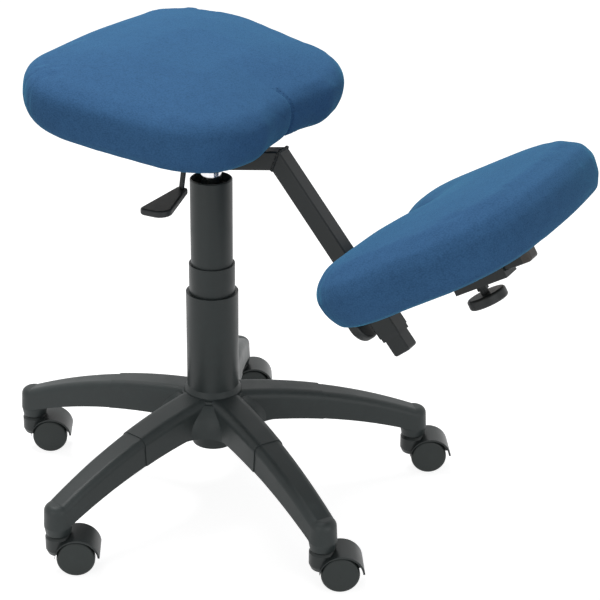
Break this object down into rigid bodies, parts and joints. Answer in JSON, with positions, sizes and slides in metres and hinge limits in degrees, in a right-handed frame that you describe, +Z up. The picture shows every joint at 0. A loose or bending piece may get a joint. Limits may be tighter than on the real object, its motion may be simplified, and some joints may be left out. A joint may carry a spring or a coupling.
{
  "type": "kneeling stool",
  "caption": "Kneeling stool: notched seat on a gas-lift column with a star base on casters, and a knee pad on an arm with clamp knobs.",
  "frame": {"origin": "on the floor under the centre line of the column", "axes": "+Z up, -Y the way the sitter faces, +X to the sitter's left"},
  "size_m": [0.6187, 0.7986, 0.6386],
  "materials": {
    "blue_fabric": "woven, matt",
    "base_plastic": "fine grain",
    "cover_plastic": "satin",
    "caster_plastic": "satin",
    "wheel_plastic": "satin",
    "black_plastic": "satin",
    "grey_plastic": "satin",
    "white_plastic": "smooth",
    "black_steel": "powder coat",
    "zinc_steel": "zinc plated",
    "chrome": "polished",
    "rubber": "matt",
    "plywood": "raw"
  },
  "bodies": {
    "base": {"base_star": "base_plastic", "caster_stems": "zinc_steel", "column_tube": "black_steel", "column_bush": "white_plastic", "cover_lower": "cover_plastic"},
    "rod": {"piston_rod": "zinc_steel", "thrust_bearing": "zinc_steel", "rod_clip": "zinc_steel", "rod_buffer": "rubber"},
    "seat_frame": {"gas_cylinder": "chrome", "cylinder_seal": "rubber", "cover_upper": "cover_plastic", "taper_socket": "black_steel", "seat_plate": "black_steel", "arm_upper": "black_steel", "arm_lower": "black_steel", "arm_plug": "black_plastic", "seat_board": "plywood", "seat_screws": "zinc_steel", "seat_nuts": "zinc_steel", "seat_cushion": "blue_fabric"},
    "release_button": {"release_button": "zinc_steel"},
    "cover_middle": {"cover_middle": "cover_plastic"},
    "lever": {"lever_rod": "black_steel", "lever_paddle": "black_plastic"},
    "knee_carrier": {"arm_sleeve": "black_steel", "sleeve_liner": "black_plastic", "sleeve_nut": "black_steel", "pad_bar": "black_steel", "bar_cap": "grey_plastic"},
    "sleeve_clamp": {"sleeve_knob": "black_plastic", "sleeve_screw": "zinc_steel"},
    "knee_pad": {"pad_carriage": "black_steel", "carriage_nut": "black_steel", "pad_board": "plywood", "pad_screws": "zinc_steel", "pad_nuts": "zinc_steel", "knee_cushion": "blue_fabric"},
    "pad_clamp": {"pad_knob": "black_plastic", "pad_stud": "zinc_steel"},
    "caster_1": {"caster_hood_1": "caster_plastic", "caster_axle_1": "zinc_steel"},
    "wheel_1_a": {"caster_wheel_1_a": "wheel_plastic"},
    "wheel_1_b": {"caster_wheel_1_b": "wheel_plastic"},
    "caster_2": {"caster_hood_2": "caster_plastic", "caster_axle_2": "zinc_steel"},
    "wheel_2_a": {"caster_wheel_2_a": "wheel_plastic"},
    "wheel_2_b": {"caster_wheel_2_b": "wheel_plastic"},
    "caster_3": {"caster_hood_3": "caster_plastic", "caster_axle_3": "zinc_steel"},
    "wheel_3_a": {"caster_wheel_3_a": "wheel_plastic"},
    "wheel_3_b": {"caster_wheel_3_b": "wheel_plastic"},
    "caster_4": {"caster_hood_4": "caster_plastic", "caster_axle_4": "zinc_steel"},
    "wheel_4_a": {"caster_wheel_4_a": "wheel_plastic"},
    "wheel_4_b": {"caster_wheel_4_b": "wheel_plastic"},
    "caster_5": {"caster_hood_5": "caster_plastic", "caster_axle_5": "zinc_steel"},
    "wheel_5_a": {"caster_wheel_5_a": "wheel_plastic"},
    "wheel_5_b": {"caster_wheel_5_b": "wheel_plastic"}
  },
  "joints": [
    {"name": "seat_swivel", "type": "hinge", "parent": "base", "child": "rod", "pos_m": [0, 0, 0.1], "axis": [0, 0, 1], "continuous": true},
    {"name": "seat_height", "type": "slide", "parent": "rod", "child": "seat_frame", "axis": [0, 0, 1], "range_m": [-0.065, 0.065]},
    {"name": "cover_follow", "type": "slide", "parent": "base", "child": "cover_middle", "axis": [0, 0, 1], "range_m": [-0.0325, 0.0325]},
    {"name": "lever_lift", "type": "hinge", "parent": "seat_frame", "child": "lever", "pos_m": [-0.046, 0, 0.5305], "axis": [0, 1, 0], "range_deg": [0, 6], "stiffness_Nm_per_rad": 6, "springref_deg": -4.58},
    {"name": "button_press", "type": "slide", "parent": "seat_frame", "child": "release_button", "axis": [0, 0, 1], "range_m": [-0.006, 0]},
    {"name": "knee_reach", "type": "slide", "parent": "seat_frame", "child": "knee_carrier", "axis": [0, -0.6361, -0.7716], "range_m": [-0.08, 0.02]},
    {"name": "sleeve_knob_turn", "type": "hinge", "parent": "knee_carrier", "child": "sleeve_clamp", "pos_m": [0, -0.24937, 0.32638], "axis": [0, 0.7716, -0.6361], "range_deg": [0, 360]},
    {"name": "pad_slide", "type": "slide", "parent": "knee_carrier", "child": "knee_pad", "axis": [0, -0.8572, 0.515], "range_m": [-0.012, 0.025]},
    {"name": "pad_knob_turn", "type": "hinge", "parent": "knee_pad", "child": "pad_clamp", "pos_m": [0, -0.36571, 0.42173], "axis": [0, -0.515, -0.8572], "range_deg": [0, 360]},
    {"name": "caster_swivel_1", "type": "hinge", "parent": "base", "child": "caster_1", "pos_m": [-0.02628, 0.28881, 0.045], "axis": [0, 0, 1], "continuous": true},
    {"name": "wheel_spin_1_a", "type": "hinge", "parent": "caster_1", "child": "wheel_1_a", "pos_m": [-0.01495, 0.26995, 0.025], "axis": [0.8572, 0.515, 0], "continuous": true},
    {"name": "wheel_spin_1_b", "type": "hinge", "parent": "caster_1", "child": "wheel_1_b", "pos_m": [-0.01495, 0.26995, 0.025], "axis": [0.8572, 0.515, 0], "continuous": true},
    {"name": "caster_swivel_2", "type": "hinge", "parent": "base", "child": "caster_2", "pos_m": [-0.28279, 0.06425, 0.045], "axis": [0, 0, 1], "continuous": true},
    {"name": "wheel_spin_2_a", "type": "hinge", "parent": "caster_2", "child": "wheel_2_a", "pos_m": [-0.27146, 0.04539, 0.025], "axis": [0.8572, 0.515, 0], "continuous": true},
    {"name": "wheel_spin_2_b", "type": "hinge", "parent": "caster_2", "child": "wheel_2_b", "pos_m": [-0.27146, 0.04539, 0.025], "axis": [0.8572, 0.515, 0], "continuous": true},
    {"name": "caster_swivel_3", "type": "hinge", "parent": "base", "child": "caster_3", "pos_m": [-0.14849, -0.2491, 0.045], "axis": [0, 0, 1], "continuous": true},
    {"name": "wheel_spin_3_a", "type": "hinge", "parent": "caster_3", "child": "wheel_3_a", "pos_m": [-0.13716, -0.26796, 0.025], "axis": [0.8572, 0.515, 0], "continuous": true},
    {"name": "wheel_spin_3_b", "type": "hinge", "parent": "caster_3", "child": "wheel_3_b", "pos_m": [-0.13716, -0.26796, 0.025], "axis": [0.8572, 0.515, 0], "continuous": true},
    {"name": "caster_swivel_4", "type": "hinge", "parent": "base", "child": "caster_4", "pos_m": [0.19102, -0.2182, 0.045], "axis": [0, 0, 1], "continuous": true},
    {"name": "wheel_spin_4_a", "type": "hinge", "parent": "caster_4", "child": "wheel_4_a", "pos_m": [0.20235, -0.23706, 0.025], "axis": [0.8572, 0.515, 0], "continuous": true},
    {"name": "wheel_spin_4_b", "type": "hinge", "parent": "caster_4", "child": "wheel_4_b", "pos_m": [0.20235, -0.23706, 0.025], "axis": [0.8572, 0.515, 0], "continuous": true},
    {"name": "caster_swivel_5", "type": "hinge", "parent": "base", "child": "caster_5", "pos_m": [0.26655, 0.11424, 0.045], "axis": [0, 0, 1], "continuous": true},
    {"name": "wheel_spin_5_a", "type": "hinge", "parent": "caster_5", "child": "wheel_5_a", "pos_m": [0.27788, 0.09538, 0.025], "axis": [0.8572, 0.515, 0], "continuous": true},
    {"name": "wheel_spin_5_b", "type": "hinge", "parent": "caster_5", "child": "wheel_5_b", "pos_m": [0.27788, 0.09538, 0.025], "axis": [0.8572, 0.515, 0], "continuous": true}
  ],
  "couplings": [
    {"joint": "cover_follow", "follows": "seat_height", "ratio": 0.5},
    {"joint": "button_press", "follows": "lever_lift", "m_per_rad": -0.046}
  ]
}
